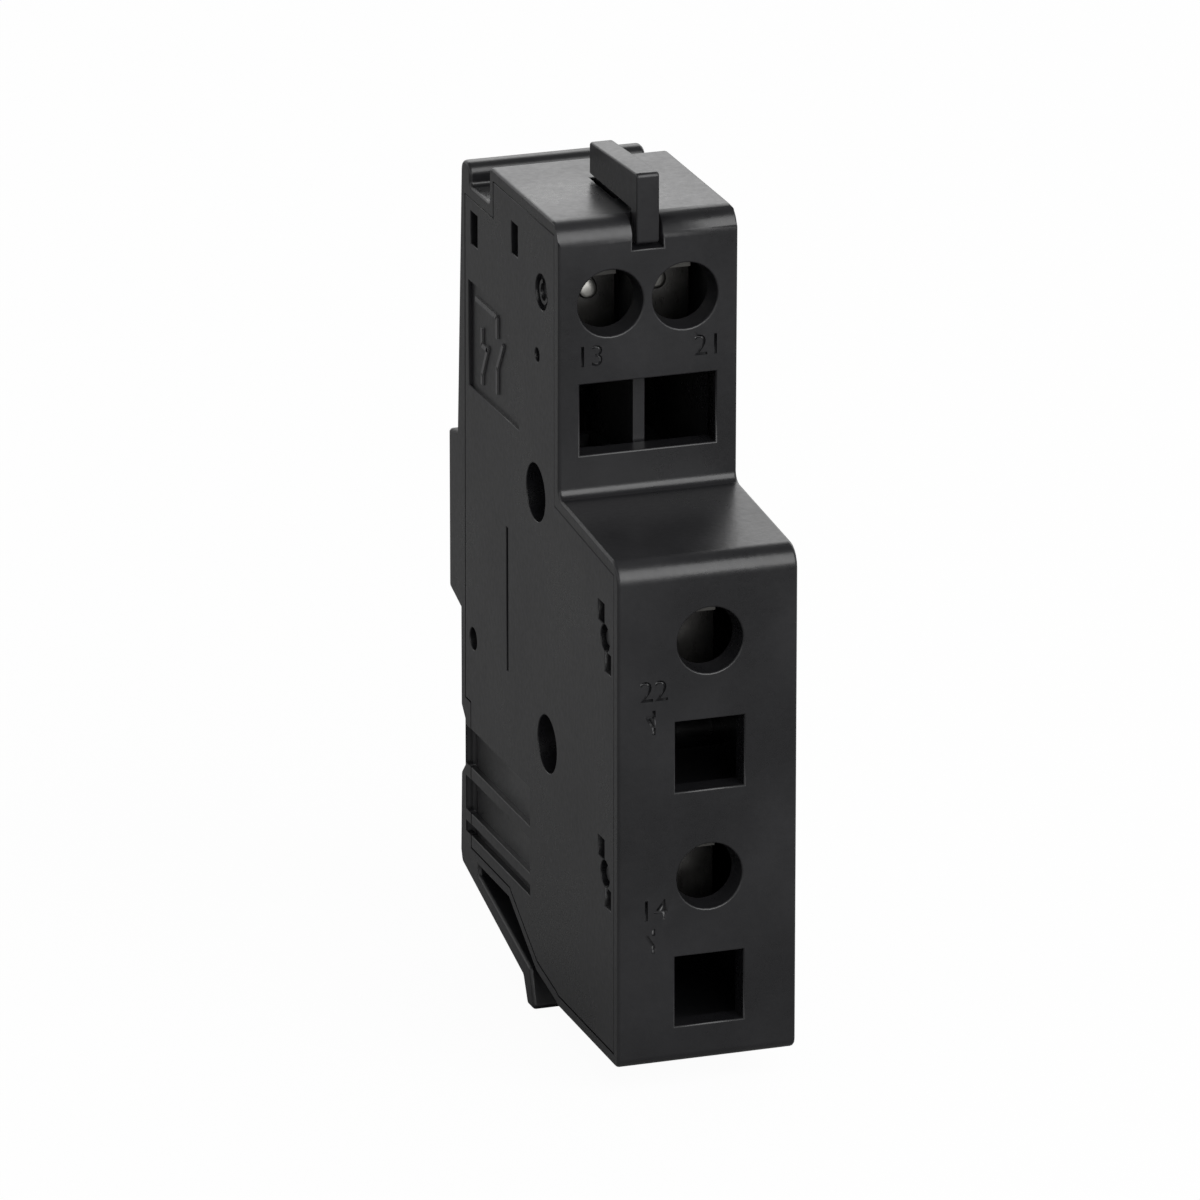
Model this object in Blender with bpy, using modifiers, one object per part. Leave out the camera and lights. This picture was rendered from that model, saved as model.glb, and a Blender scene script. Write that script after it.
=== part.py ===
"""Auxiliary contact block for switchgear: one normally open and one normally closed
contact with four spring clamp terminals, in a stepped housing 12.5 mm wide.

Lengths are in millimetres and turned into metres where the objects are made. In the
block's own layout x runs from left to right across the thickness, y from the lower
front face to the back, and z up from the bottom. The block_frame empty then puts the
origin on the flat right side, which lies against the switch that the block serves.
"""
import math

import bmesh
import bpy
from mathutils import Matrix, Vector

MM = 0.001

# Gap left between pieces that touch
FIT = 0.3

# Housing
WIDTH = 12.5
HALF = WIDTH / 2
WALL = 1.6
SIDE_WALL = 1.3
UPPER_FRONT = 12.1
SHELF_FRONT = 35.1
SHELF_BACK = 36.05
TOP = 54.85
TOP_BACK = 26.5
GROOVE_FLOOR = 52.3
RIM_FRONT = 30.6
RIM_TOP = 53.75
RIM_BACK = 32.5
BACK = 33.6
PAD_BACK = 35.4
PAD_LOW = 21.65
PAD_HIGH = 33.75
PAD_RAMP = 0.4
LOW_BACK = 33.0
NOTCH_BACK = 32.2
NOTCH_LOW = 10.25
NOTCH_HIGH = 14.3
NOTCH_RAMP = 0.4
CORE_BACK = 32.8
CORE_LOW_BACK = 31.65
HEEL = 4.15
HEEL_BACK = 33.2
# Underside from the heel forward to the flat part: (y, z)
UNDERSIDE = ((22.8, HEEL), (17.0, 0.9), (13.0, 0.2), (12.4, 0.0))
FRONT_ROUND = 0.7
TOP_ROUND = 1.55
SHELF_ROUND = 1.5
COVE_ROUND = 0.7
RIM_ROUND = 0.8
STEP_ROUND = 0.5
SMALL_ROUND = 0.3

# Snap foot: a moulded arm under the back of the housing
FOOT_ROOT = (32.9, 3.3)
FOOT_TIP = (19.8, -0.35)
FOOT_THICK = 1.25
FOOT_TOE = -2.1
FOOT_TOE_STEP = 0.9
FOOT_TOE_WIDE = 1.5
FOOT_NOSE = (18.3, 0.7)
FOOT_SLOT_END = 29.2

# Left cover, set in a rebate of the tray
COVER = 1.2
REBATE = 0.8
COVER_IN = -HALF + COVER
LEDGE = COVER_IN + FIT
WALL_IN = HALF - SIDE_WALL

# A piece that stands on a wall starts this far inside it, a cutter ends this far beyond
ROOTED = 0.4
BEYOND = 1.0

# Point of the flat right side where the origin lies
MOUNT_Y = 17.0
MOUNT_Z = 27.0

# Terminals by number: (x, front face y, conductor axis z)
UPPER_PITCH = 5.2
UPPER_AXIS = 49.2
LOWER_X = 0.15
LOWER_AXIS_HIGH = 29.4
LOWER_AXIS_LOW = 12.95
TERMINALS = {
    "13": (-UPPER_PITCH / 2, UPPER_FRONT, UPPER_AXIS),
    "21": (UPPER_PITCH / 2, UPPER_FRONT, UPPER_AXIS),
    "22": (LOWER_X, 0.0, LOWER_AXIS_HIGH),
    "14": (LOWER_X, 0.0, LOWER_AXIS_LOW),
}
FUNNEL_MOUTH = 2.3
FUNNEL_THROAT = 2.1
WINDOW_DROP = 7.9
WINDOW_WIDE = 4.8
WINDOW_HIGH = 4.9
UPPER_WINDOW_WIDE = 9.5

# Current bars and cage clamps, measured from the front face and the conductor axis
BAR_THICK = 0.8
BAR_WIDE = 2.0
BAR_RISE = 1.8
CAGE_THICK = 0.5
CAGE_WIDE = 3.6
CAGE_FRONT = 4.8
CAGE_BACK = 10.6
CAGE_DROP = 4.5
CAGE_TOP = 3.2
CAGE_REST = 0.4
CAGE_TOP_BACK = 1.6
CAGE_BEND = 0.8

# Blocks, lugs and floor of the tray that hold the lower and the upper bars
BLOCK_FRONT = 11.5
BLOCK_BACK = 12.6
BLOCK_LEFT = -1.6
BLOCK_UNDER = 3.8
BLOCK_OVER = 1.4
LUG_FRONT = 23.3
LUG_BACK = 24.6
LUG_NEAR = 1.5
LUG_FAR = 4.2
CLAMP_FLOOR_DROP = 12.0
CLAMP_FLOOR_THICK = 0.8
CLAMP_FLOOR_BACK = 11.4

# Bends of the current bars
LOWER_BAR_END = 15.2
CROSS_FRONT = 13.0
RUN_START = 14.1
TURN_14 = 18.1
TURN_22 = 17.6
DROP_Y = 24.35
TURN_Z = 36.6

# Contacts
CONTACT_X = UPPER_PITCH / 2
TIP_RADIUS = 0.8
TIP_THICK = 0.4
BRIDGE_THICK = 0.6
BRIDGE_WIDE = 2.2
BRIDGE_REACH = 0.9
BAR_BACK_Y = RIM_BACK - WALL - FIT - BAR_THICK / 2
CONTACT_FRONT = 20.6
CONTACT_BACK = BAR_BACK_Y - BAR_THICK / 2 - FIT - BRIDGE_REACH
CONTACT_MID = (CONTACT_FRONT + CONTACT_BACK) / 2
TRAVEL = 2.0
OVERTRAVEL = 0.6

# Contact carrier
WEB_THICK = 0.8
WEB_LOW = 22.2
CARRIER_WINDOW = 5.6
WEB_HIGH = WEB_LOW + WEB_THICK + CARRIER_WINDOW
CARRIER_LONG = 4.4
CARRIER_WIDE = 8.6
SPINE = 1.0
TONGUE_LONG = 2.8
TONGUE_TOP = 34.6
GUIDE_LOW = 31.0
GUIDE_HIGH = 35.5
GUIDE_LEFT = -1.4
GUIDE_PLAY = 0.2
DOG_LONG = 2.8
DOG_HIGH = 1.8
DOG_OUT = 2.0
DOG_START = 2.0
SEAT_TOP = 16.4
SEAT_THICK = 1.2
SEAT_HALF = 1.9

# Coil springs: mean radius, wire and turns
RETURN_COIL = (1.2, 0.4, 6)
PRESSURE_COIL = (0.85, 0.3, 6)
LATCH_COIL = (0.8, 0.3, 7)

# Latch tab and its hook
TAB_THICK = 1.6
TAB_BACK = 21.8
TAB_TOP_FRONT = 57.9
TAB_TOP_BACK = 57.4
FINGER_FOOT = 53.0
FINGER_DEEP = 1.2
BLADE_THICK = 0.8
BLADE_FRONT = 17.3
BLADE_BACK = 21.6
LATCH_LOW = 44.7
LATCH_ARM = 1.6
HOOK_FRONT = 25.5
HOOK_BACK = 27.5
HOOK_OUT = 1.4
LATCH_TRAVEL = 2.5
LATCH_SPRING_Y = 23.7
DIVIDER_STEP = 1.2
DIVIDER_DROP = 12.0

# Sunk rivets: (y, z)
RIVETS = {"rivet_upper": (16.85, 35.0), "rivet_lower": (14.55, 18.0)}
RIVET_HOLE = 2.0
CUP_WALL = 0.45
CUP_FLOOR = -2.6
CUP_FLOOR_THICK = 0.6
POST_RADIUS = 1.5
SHANK = 0.75
HEAD = 1.5
HEAD_THICK = 0.5
HEAD_BEVEL = 0.2
TAIL_THICK = 0.4
TAIL_SINK = 0.9

# Pegs of the tray that show in the cover: (name, y, z)
PEG_RADIUS = 0.6
PEG_HOLE = 0.95
PEG_LONG = 2.0
PEG_SINK = 0.25
PEG_LUG = 1.1
PEG_LUG_IN = -2.6
# Snap slits beside each peg: how far they lie from it in y and z, and their size
SLITS = ((0.8, 1.6), (-0.5, -1.6))
SLIT_LONG = 1.3
SLIT_HIGH = 1.4
SLIT_SINK = 0.7
PEGS = (("peg_low", 2.6, LOWER_AXIS_LOW), ("peg_high", 2.6, LOWER_AXIS_HIGH))

# Ribbed field low on the left side: front, back, low and high, and its standing bars (z, thickness)
RIB_FIELD = (18.0, 31.9, 5.9, 13.6)
RIB_SINK = 0.45
RIB_BARS = ((10.4, 0.9), (7.1, 0.8))

# Fields, slots and marks of the cover: front, back, low and high, or the place (y, z)
LABEL_FIELD = (20.4, 31.0, 38.2, 45.6)
LABEL_SINK = 0.25
SNAP_SLOTS = ((29.0, 30.5, 48.3, 50.6), (20.5, 21.9, 50.2, 52.4))
RING = (15.6, 49.3)
RING_RADIUS = 1.25
RING_SINK = 0.35
DIMPLE = (16.5, 44.7)
DIMPLE_RADIUS = 0.5
DIMPLE_SINK = 0.6
EDGE_HOLE = (30.2, 20.3)
EDGE_HOLE_RADIUS = 0.8
SCORE_Y = 22.9
SCORE_LOW = 20.4
SCORE_HIGH = 30.6
SCORE_WIDE = 0.4
SCORE_SINK = 0.3


def clear_scene():
    """Remove what a new file holds."""
    for item in list(bpy.data.objects):
        bpy.data.objects.remove(item, do_unlink=True)


def new_collection(name):
    """A collection linked to the scene."""
    group = bpy.data.collections.new(name)
    bpy.context.scene.collection.children.link(group)
    return group


def material(name, colour, roughness, metallic=0.0):
    """A Principled material."""
    item = bpy.data.materials.new(name)
    item.use_nodes = True
    shader = item.node_tree.nodes["Principled BSDF"]
    shader.inputs["Base Color"].default_value = (*colour, 1.0)
    shader.inputs["Roughness"].default_value = roughness
    shader.inputs["Metallic"].default_value = metallic
    item.diffuse_color = (*colour, 1.0)
    return item


clear_scene()
PARTS = new_collection("auxiliary_contact_block")
CUTTERS = new_collection("cutters")

BLACK_PLASTIC = material("black_polyamide", (0.012, 0.012, 0.013), 0.42)
DARK_PLASTIC = material("carrier_plastic", (0.05, 0.05, 0.055), 0.5)
SPRING_STEEL = material("spring_steel", (0.55, 0.55, 0.56), 0.3, 1.0)
TINNED_BRASS = material("tinned_brass", (0.62, 0.60, 0.55), 0.35, 1.0)
COPPER_STRIP = material("copper_strip", (0.70, 0.42, 0.28), 0.35, 1.0)
SILVER = material("contact_silver", (0.80, 0.80, 0.78), 0.25, 1.0)

# The empty that carries the whole block
FRAME = bpy.data.objects.new("block_frame", None)
FRAME.location = Vector((-HALF, -MOUNT_Y, -MOUNT_Z)) * MM
PARTS.objects.link(FRAME)


def add_object(name, mesh, place, look=None, turn=(0.0, 0.0, 0.0)):
    """An object at a place in the block's layout; with no look it is a cutter."""
    item = bpy.data.objects.new(name, mesh)
    item.location = Vector(place) * MM
    item.rotation_euler = turn
    item.parent = FRAME
    if look is None:
        item.hide_render = True
        item.display_type = "WIRE"
        CUTTERS.objects.link(item)
    else:
        mesh.materials.append(look)
        PARTS.objects.link(item)
    return item


def box(name, low, high, look=None, origin=None):
    """A box between two opposite corners."""
    low, high = Vector(low), Vector(high)
    middle = (low + high) / 2
    place = middle if origin is None else Vector(origin)
    shape = bmesh.new()
    size = Matrix.Diagonal((*(high - low) * MM, 1.0))
    bmesh.ops.create_cube(shape, size=1.0, matrix=Matrix.Translation((middle - place) * MM) @ size)
    mesh = bpy.data.meshes.new(name)
    shape.to_mesh(mesh)
    shape.free()
    return add_object(name, mesh, place, look)


def cylinder(name, start, axis, length, radius, look=None, end_radius=None, sides=32):
    """A cylinder or cone that starts at a point and runs along x, y or z."""
    turn = {"x": (0.0, math.pi / 2, 0.0), "y": (-math.pi / 2, 0.0, 0.0), "z": (0.0, 0.0, 0.0)}[axis]
    step = {"x": Vector((1, 0, 0)), "y": Vector((0, 1, 0)), "z": Vector((0, 0, 1))}[axis]
    shape = bmesh.new()
    bmesh.ops.create_cone(
        shape, cap_ends=True, segments=sides, radius1=radius * MM,
        radius2=(radius if end_radius is None else end_radius) * MM, depth=length * MM,
    )
    mesh = bpy.data.meshes.new(name)
    shape.to_mesh(mesh)
    shape.free()
    mesh.shade_smooth()
    mesh.set_sharp_from_angle(angle=math.radians(40))
    return add_object(name, mesh, Vector(start) + step * length / 2, look, turn)


def rounded(points, steps=5):
    """An outline of (y, z, radius) corners with each radius turned into an arc."""
    outline = []
    count = len(points)
    for index, (y, z, radius) in enumerate(points):
        here = Vector((y, z))
        if radius <= 0:
            outline.append(here)
            continue
        before = (Vector(points[index - 1][:2]) - here).normalized()
        after = (Vector(points[(index + 1) % count][:2]) - here).normalized()
        half_turn = before.angle(after) / 2
        centre = here + (before + after).normalized() * radius / math.sin(half_turn)
        reach = radius / math.tan(half_turn)
        first = here + before * reach - centre
        sweep = first.angle_signed(here + after * reach - centre)
        for step in range(steps + 1):
            turn = Matrix.Rotation(-sweep * step / steps, 2)
            outline.append(centre + turn @ first)
    return outline


def inset(points, distance):
    """Move every edge of a clockwise outline inward."""
    corners = [Vector(point[:2]) for point in points]
    result = []
    for index, here in enumerate(corners):
        before = (here - corners[index - 1]).normalized()
        after = (corners[(index + 1) % len(corners)] - here).normalized()
        normal_before = Vector((before.y, -before.x))
        normal_after = Vector((after.y, -after.x))
        mitre = normal_before + normal_after
        result.append(here + mitre * distance * 2 / mitre.length_squared)
    return result


def strip_outline(path, thickness):
    """The side view of a bent strip that follows a path of points."""
    path = [Vector(point[:2]) for point in path]
    sides = ([], [])
    for index, here in enumerate(path):
        before = (here - path[max(index - 1, 0)])
        after = (path[min(index + 1, len(path) - 1)] - here)
        before = before.normalized() if before.length else after.normalized()
        after = after.normalized() if after.length else before
        normal = Vector((before.y, -before.x)) + Vector((after.y, -after.x))
        shift = normal * thickness / normal.length_squared
        sides[0].append(here + shift)
        sides[1].append(here - shift)
    return sides[0] + sides[1][::-1]


def extruded(name, outline, low_x, high_x, look=None, origin=(0.0, 0.0)):
    """A side view outline in y and z, extruded across the thickness."""
    curve = bpy.data.curves.new(name, "CURVE")
    curve.dimensions = "2D"
    curve.fill_mode = "BOTH"
    curve.extrude = (high_x - low_x) / 2 * MM
    line = curve.splines.new("POLY")
    line.points.add(len(outline) - 1)
    for point, (y, z) in zip(line.points, outline):
        point.co = ((y - origin[0]) * MM, (z - origin[1]) * MM, 0.0, 1.0)
    line.use_cyclic_u = True
    guide = bpy.data.objects.new(name + "_outline", curve)
    PARTS.objects.link(guide)
    mesh = solid_mesh(guide, name)
    place = ((low_x + high_x) / 2, origin[0], origin[1])
    return add_object(name, mesh, place, look, (math.pi / 2, 0.0, math.pi / 2))


def solid_mesh(guide, name):
    """Turn a curve object into a closed mesh and remove the curve."""
    graph = bpy.context.evaluated_depsgraph_get()
    mesh = bpy.data.meshes.new_from_object(guide.evaluated_get(graph))
    mesh.name = name
    curve = guide.data
    bpy.data.objects.remove(guide)
    bpy.data.curves.remove(curve)
    shape = bmesh.new()
    shape.from_mesh(mesh)
    bmesh.ops.remove_doubles(shape, verts=shape.verts, dist=0.000001)
    bmesh.ops.recalc_face_normals(shape, faces=shape.faces)
    shape.to_mesh(mesh)
    shape.free()
    return mesh


def coil(name, centre, low, high, winding, look):
    """A compression spring along z, with a closed turn at each end."""
    radius, wire, turns = winding
    per_turn = 12
    total = turns * per_turn
    curve = bpy.data.curves.new(name, "CURVE")
    curve.dimensions = "3D"
    curve.bevel_depth = wire / 2 * MM
    curve.bevel_resolution = 2
    curve.use_fill_caps = True
    line = curve.splines.new("POLY")
    line.points.add(total)
    height = high - low - wire
    dead = per_turn
    pitch = wire * 1.05
    for step, point in enumerate(line.points):
        angle = 2 * math.pi * step / per_turn
        if step <= dead:
            rise = pitch * step / dead
        elif step >= total - dead:
            rise = height - pitch * (total - step) / dead
        else:
            rise = pitch + (height - 2 * pitch) * (step - dead) / (total - 2 * dead)
        middle = rise - height / 2
        point.co = (radius * math.cos(angle) * MM, radius * math.sin(angle) * MM, middle * MM, 1.0)
    guide = bpy.data.objects.new(name + "_path", curve)
    PARTS.objects.link(guide)
    mesh = solid_mesh(guide, name)
    mesh.shade_smooth()
    return add_object(name, mesh, (centre[0], centre[1], (low + high) / 2), look)


def turned(name, profile, place, look):
    """A turned piece along x from a profile of (radius, x) points, right end first."""
    shape = bmesh.new()
    verts = [shape.verts.new((radius * MM, 0.0, along * MM)) for radius, along in profile]
    for first, second in zip(verts, verts[1:]):
        shape.edges.new((first, second))
    mesh = bpy.data.meshes.new(name)
    shape.to_mesh(mesh)
    shape.free()
    item = add_object(name, mesh, place, look, (0.0, math.pi / 2, 0.0))
    spin = item.modifiers.new("turn", "SCREW")
    spin.steps = 24
    spin.render_steps = 24
    spin.use_merge_vertices = True
    spin.merge_threshold = 0.00001
    return item


def combine(item, other, operation):
    """Add or cut another solid with an exact Boolean."""
    change = item.modifiers.new(operation.lower(), "BOOLEAN")
    change.operation = operation
    change.solver = "EXACT"
    change.object = other


def join(item, *others):
    """Boolean union with each of the others."""
    for other in others:
        combine(item, other, "UNION")


def cut(item, *others):
    """Cut each of the others out."""
    for other in others:
        combine(item, other, "DIFFERENCE")


def core_outline():
    """The body of the housing without foot, rim and pad: what the tray and cover follow."""
    return [
        (0.0, 0.0), (0.0, SHELF_FRONT), (UPPER_FRONT, SHELF_BACK), (UPPER_FRONT, TOP),
        (TOP_BACK, TOP), (TOP_BACK, GROOVE_FLOOR), (RIM_BACK, GROOVE_FLOOR),
        (CORE_BACK, NOTCH_HIGH + NOTCH_RAMP), (CORE_LOW_BACK, NOTCH_HIGH + NOTCH_RAMP),
        (CORE_LOW_BACK, HEEL), *UNDERSIDE,
    ]


def foot_outline():
    """The snap foot, from its root at the back down to the toe and back to the slot."""
    slope = (FOOT_ROOT[1] - FOOT_TIP[1]) / (FOOT_ROOT[0] - FOOT_TIP[0])
    top_end = FOOT_TIP[1] + FOOT_THICK + slope * (FOOT_SLOT_END - FOOT_TIP[0])
    toe = FOOT_TIP[0] - FOOT_TOE_STEP
    return [
        (HEEL_BACK, HEEL, SMALL_ROUND), (*FOOT_ROOT, STEP_ROUND), (*FOOT_TIP, SMALL_ROUND),
        (toe, FOOT_TOE, SMALL_ROUND), (toe - FOOT_TOE_WIDE, FOOT_TOE, SMALL_ROUND),
        (*FOOT_NOSE, SMALL_ROUND), (FOOT_SLOT_END, top_end, 0.0), (FOOT_SLOT_END, HEEL, 0.0),
    ]


def outer_outline():
    """The whole side view of the housing, clockwise from the lower front corner."""
    return [
        (0.0, 0.0, FRONT_ROUND), (0.0, SHELF_FRONT, SHELF_ROUND),
        (UPPER_FRONT, SHELF_BACK, COVE_ROUND), (UPPER_FRONT, TOP, TOP_ROUND),
        (TOP_BACK, TOP, STEP_ROUND), (TOP_BACK, GROOVE_FLOOR, SMALL_ROUND),
        (RIM_FRONT, GROOVE_FLOOR, SMALL_ROUND), (RIM_FRONT, RIM_TOP, RIM_ROUND),
        (RIM_BACK, RIM_TOP, RIM_ROUND), (BACK, PAD_HIGH + PAD_RAMP, 0.0),
        (PAD_BACK, PAD_HIGH, SMALL_ROUND),
        (PAD_BACK, PAD_LOW + 2 * PAD_RAMP, SMALL_ROUND), (LOW_BACK, PAD_LOW, 0.0),
        (LOW_BACK, NOTCH_HIGH + NOTCH_RAMP, 0.0), (NOTCH_BACK, NOTCH_HIGH - NOTCH_RAMP, 0.0),
        (NOTCH_BACK, NOTCH_LOW + NOTCH_RAMP, 0.0), (LOW_BACK, NOTCH_LOW - NOTCH_RAMP, 0.0),
        *foot_outline(), *[(y, z, 0.0) for y, z in UNDERSIDE],
    ]


def housing_base():
    """The moulded tray: every wall except the left one, with ribs, posts and guides."""
    tray = extruded("housing_base", rounded(outer_outline()), -HALF, HALF, BLACK_PLASTIC)
    cut(
        tray,
        extruded("rebate_cut", inset(core_outline(), REBATE), -HALF - BEYOND, LEDGE),
        extruded("cavity_cut", inset(core_outline(), WALL), -HALF - BEYOND, WALL_IN),
    )
    join(tray, *tray_ribs())
    cut(tray, *terminal_cuts(), *side_cuts())
    return tray


def tray_ribs():
    """Blocks that stand on the right wall and carry what is inside."""
    into_wall = WALL_IN + ROOTED
    inner_front = WALL - ROOTED
    # A rib starts short of the cover
    free = LEDGE + FIT
    ribs = []
    post_start = CUP_FLOOR + CUP_FLOOR_THICK + FIT
    for name, (y, z) in RIVETS.items():
        ribs.append(cylinder(name + "_post", (post_start, y, z), "x", into_wall - post_start, POST_RADIUS))
    # Floor between the two lower clamps
    floor_z = LOWER_AXIS_HIGH - CLAMP_FLOOR_DROP
    ribs.append(box(
        "clamp_floor", (free, inner_front, floor_z - CLAMP_FLOOR_THICK / 2),
        (into_wall, CLAMP_FLOOR_BACK, floor_z + CLAMP_FLOOR_THICK / 2),
    ))
    # Slotted blocks behind the lower clamps, which hold the bars
    gap = BAR_THICK / 2 + FIT
    for number in ("22", "14"):
        bar_z = bar_height(number)
        spans = {"under": (bar_z - BLOCK_UNDER, bar_z - gap), "over": (bar_z + gap, bar_z + BLOCK_OVER)}
        for name, (low, high) in spans.items():
            ribs.append(box(
                f"{name}_bar_{number}", (BLOCK_LEFT, BLOCK_FRONT, low), (into_wall, BLOCK_BACK, high),
            ))
    # Lugs on the top wall over the upper bars
    bar_top = bar_height("13") + gap
    for side in (-1, 1):
        near, far = sorted((side * LUG_NEAR, side * LUG_FAR))
        ribs.append(box("over_bar_upper", (near, LUG_FRONT, bar_top), (far, LUG_BACK, TOP - WALL + ROOTED)))
    # Guide for the carrier's tongue, open to the left
    half = CARRIER_LONG / 2
    slot = TONGUE_LONG / 2 + GUIDE_PLAY
    mid = CONTACT_MID
    stop = SPINE / 2 + GUIDE_PLAY
    ribs += [
        box("guide_front", (GUIDE_LEFT, mid - half, GUIDE_LOW), (into_wall, mid - slot, GUIDE_HIGH)),
        box("guide_back", (GUIDE_LEFT, mid + slot, GUIDE_LOW), (into_wall, mid + half, GUIDE_HIGH)),
        box("guide_side", (stop, mid - half, GUIDE_LOW), (into_wall, mid + half, GUIDE_HIGH)),
    ]
    # Seat of the return spring
    ribs.append(box(
        "spring_seat", (-SEAT_HALF, mid - SEAT_HALF, SEAT_TOP - SEAT_THICK),
        (into_wall, mid + SEAT_HALF, SEAT_TOP),
    ))
    # Lugs with the pegs that place the cover
    for name, y, z in PEGS:
        ribs.append(box(
            name + "_lug", (LEDGE, inner_front, z - PEG_LUG), (PEG_LUG_IN, y + PEG_LUG, z + PEG_LUG),
        ))
        ribs.append(cylinder(name, (-HALF + PEG_SINK, y, z), "x", PEG_LONG, PEG_RADIUS, sides=16))
    return ribs


def terminal_cuts():
    """Conductor funnels and screwdriver openings through the front walls."""
    cuts = []
    beyond = BEYOND / 2
    flare = (FUNNEL_MOUTH - FUNNEL_THROAT) * beyond / WALL
    for number, (x, front, axis) in TERMINALS.items():
        cuts.append(cylinder(
            "funnel_" + number, (x, front - beyond, axis), "y", WALL + 2 * beyond,
            FUNNEL_MOUTH + flare, end_radius=FUNNEL_THROAT - flare,
        ))
        if front == 0.0:
            cuts.append(window("window_" + number, x, front, axis, WINDOW_WIDE))
    cuts.append(window("window_upper", 0.0, UPPER_FRONT, UPPER_AXIS, UPPER_WINDOW_WIDE))
    return cuts


def window(name, x, front, axis, wide):
    """One rectangular opening below a conductor axis."""
    z = axis - WINDOW_DROP
    low = (x - wide / 2, front - BEYOND, z - WINDOW_HIGH / 2)
    high = (x + wide / 2, front + WALL + BEYOND, z + WINDOW_HIGH / 2)
    return box(name, low, high)


def side_cuts():
    """Slots for the tab, its hook and the driving dog, and the rivets' way through."""
    side = TAB_THICK / 2 + FIT
    blade = BLADE_THICK / 2 + FIT
    dog = DOG_LONG / 2 + FIT
    hook_top = LATCH_LOW + LATCH_ARM + LATCH_TRAVEL + FIT
    cuts = [
        box(
            "finger_notch", (-side, UPPER_FRONT - BEYOND, FINGER_FOOT - FIT),
            (side, UPPER_FRONT + FINGER_DEEP + FIT, TOP + BEYOND),
        ),
        box(
            "blade_slot", (-blade, BLADE_FRONT - FIT, TOP - WALL - BEYOND),
            (blade, BLADE_BACK + FIT, TOP + BEYOND),
        ),
        box(
            "hook_slot", (WALL_IN - BEYOND, HOOK_FRONT - FIT, LATCH_LOW - FIT),
            (HALF + BEYOND, HOOK_BACK + FIT, hook_top),
        ),
        box(
            "dog_slot", (WALL_IN - BEYOND, CONTACT_MID - dog, WEB_LOW - DOG_HIGH - TRAVEL - FIT),
            (HALF + BEYOND, CONTACT_MID + dog, WEB_LOW + WEB_THICK / 2 + FIT),
        ),
    ]
    for name, (y, z) in RIVETS.items():
        cuts.append(cylinder(name + "_bore", (CUP_FLOOR - BEYOND, y, z), "x", WIDTH, SHANK + FIT, sides=24))
        cuts.append(cylinder(name + "_sink", (HALF - TAIL_SINK, y, z), "x", TAIL_SINK + BEYOND, HEAD + FIT))
    return cuts + side_recess("tray")


def side_recess(owner):
    """The ribbed field, cut as bands that leave its bars standing."""
    front, back, low, high = RIB_FIELD
    edges = [high]
    for middle, thick in RIB_BARS:
        edges += [middle + thick / 2, middle - thick / 2]
    edges.append(low)
    bands = []
    for number in range(0, len(edges), 2):
        bands.append(box(
            f"rib_band_{owner}_{number}", (-HALF - BEYOND, front, edges[number + 1]),
            (-HALF + RIB_SINK, back, edges[number]),
        ))
    return bands


def side_cover():
    """The plate that closes the tray, with a sunk cup for each rivet."""
    plate = extruded(
        "side_cover", inset(core_outline(), REBATE + FIT), -HALF, COVER_IN, BLACK_PLASTIC,
    )
    for name, (y, z) in RIVETS.items():
        end = CUP_FLOOR + CUP_FLOOR_THICK
        join(plate, cylinder(
            name + "_cup", (COVER_IN - ROOTED, y, z), "x", end - COVER_IN + ROOTED,
            RIVET_HOLE + CUP_WALL,
        ))
    for name, (y, z) in RIVETS.items():
        cut(
            plate,
            cylinder(name + "_well", (-HALF - BEYOND, y, z), "x", CUP_FLOOR + HALF + BEYOND, RIVET_HOLE),
            cylinder(
                name + "_cup_bore", (CUP_FLOOR - BEYOND, y, z), "x", CUP_FLOOR_THICK + 2 * BEYOND,
                SHANK + FIT, sides=24,
            ),
        )
    for name, y, z in PEGS:
        cut(plate, sunk(name + "_hole", (y, z), PEG_HOLE, COVER + BEYOND, 20))
        for back, up in SLITS:
            cut(plate, box(
                name + "_slit", (-HALF - BEYOND, y + back - SLIT_LONG / 2, z + up - SLIT_HIGH / 2),
                (-HALF + SLIT_SINK, y + back + SLIT_LONG / 2, z + up + SLIT_HIGH / 2),
            ))
    cut(plate, *cover_marks())
    return plate


def cover_marks():
    """Label field, snap slots, ring, dimple, score line and ribbed field."""
    left = -HALF - BEYOND
    front, back, low, high = LABEL_FIELD
    cuts = [
        box("label_field", (left, front, low), (-HALF + LABEL_SINK, back, high)),
        sunk("ring_cut", RING, RING_RADIUS, RING_SINK, 24),
        sunk("dimple_cut", DIMPLE, DIMPLE_RADIUS, DIMPLE_SINK, 16),
        sunk("edge_hole", EDGE_HOLE, EDGE_HOLE_RADIUS, COVER + BEYOND, 20),
        box(
            "score_line", (left, SCORE_Y - SCORE_WIDE / 2, SCORE_LOW),
            (-HALF + SCORE_SINK, SCORE_Y + SCORE_WIDE / 2, SCORE_HIGH),
        ),
    ]
    for number, (front, back, low, high) in enumerate(SNAP_SLOTS):
        cuts.append(box(f"snap_slot_{number}", (left, front, low), (COVER_IN + BEYOND, back, high)))
    return cuts + side_recess("cover")


def sunk(name, place, radius, depth, sides):
    """A round cut into the left face."""
    y, z = place
    return cylinder(name, (-HALF - BEYOND, y, z), "x", BEYOND + depth, radius, sides=sides)


def rivet(name, y, z):
    """A rivet that holds cover and tray together."""
    head_x = CUP_FLOOR - FIT
    tail_x = HALF - TAIL_SINK + FIT
    tail_end = tail_x + TAIL_THICK
    head_end = head_x - HEAD_THICK
    rim = HEAD - HEAD_BEVEL
    profile = [
        (0.0, tail_end), (rim, tail_end), (HEAD, tail_x), (SHANK, tail_x),
        (SHANK, head_x), (HEAD, head_x), (rim, head_end), (0.0, head_end),
    ]
    return turned(name, profile, (0.0, y, z), SPRING_STEEL)


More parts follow.
